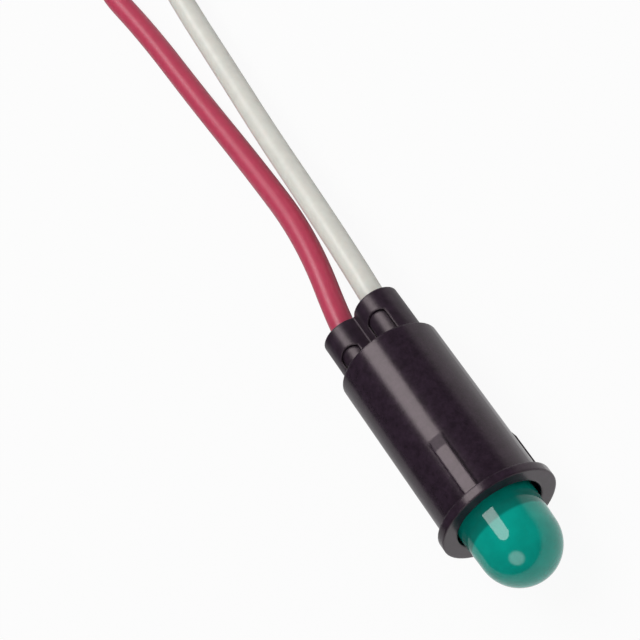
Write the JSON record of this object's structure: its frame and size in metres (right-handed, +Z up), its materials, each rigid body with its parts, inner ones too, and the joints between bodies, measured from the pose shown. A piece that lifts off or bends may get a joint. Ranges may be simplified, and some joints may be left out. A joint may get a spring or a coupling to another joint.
{
  "type": "led panel indicator",
  "caption": "Round panel indicator: a black ribbed barrel with a thin flange holds a domed green LED and lets out a red and a white lead at the rear.",
  "frame": {"origin": "centre of the flange's back face, on the barrel's axis", "axes": "+Y to the rear, where the leads come out, lens to -Y, +Z up through the ears' tongues, ears side by side along X with the white lead at +X"},
  "size_m": [0.0153, 0.0944, 0.0072],
  "materials": {
    "housing_black": "semi-gloss moulded nylon",
    "lens_green": "tinted diffused epoxy",
    "lead_frame": "tin plated",
    "chip": "semiconductor chip",
    "gold": "gold wire",
    "glue": "cured adhesive",
    "resistor_coat": "resistor lacquer",
    "tinned_wire": "tinned copper",
    "solder": "solder",
    "sleeve_black": "shrunk sleeve",
    "insulation_red": "satin PVC",
    "insulation_white": "satin PVC",
    "band_paper": "plain paper"
  },
  "bodies": {
    "root": {"housing": "housing_black", "led_lens": "lens_green", "cathode_frame": "lead_frame", "anode_frame": "lead_frame", "led_chip": "chip", "bond_wire": "gold", "glue_ring": "glue", "resistor_body": "resistor_coat", "resistor_wire_front": "tinned_wire", "resistor_wire_rear": "tinned_wire", "anode_joint": "solder", "red_joint": "solder", "white_joint": "solder", "red_sleeve": "sleeve_black", "white_sleeve": "sleeve_black", "red_core": "tinned_wire", "white_core": "tinned_wire", "red_lead": "insulation_red", "white_lead": "insulation_white", "red_hank": "insulation_red", "white_hank": "insulation_white", "red_tip": "tinned_wire", "white_tip": "tinned_wire", "hank_band": "band_paper"}
  },
  "joints": []
}
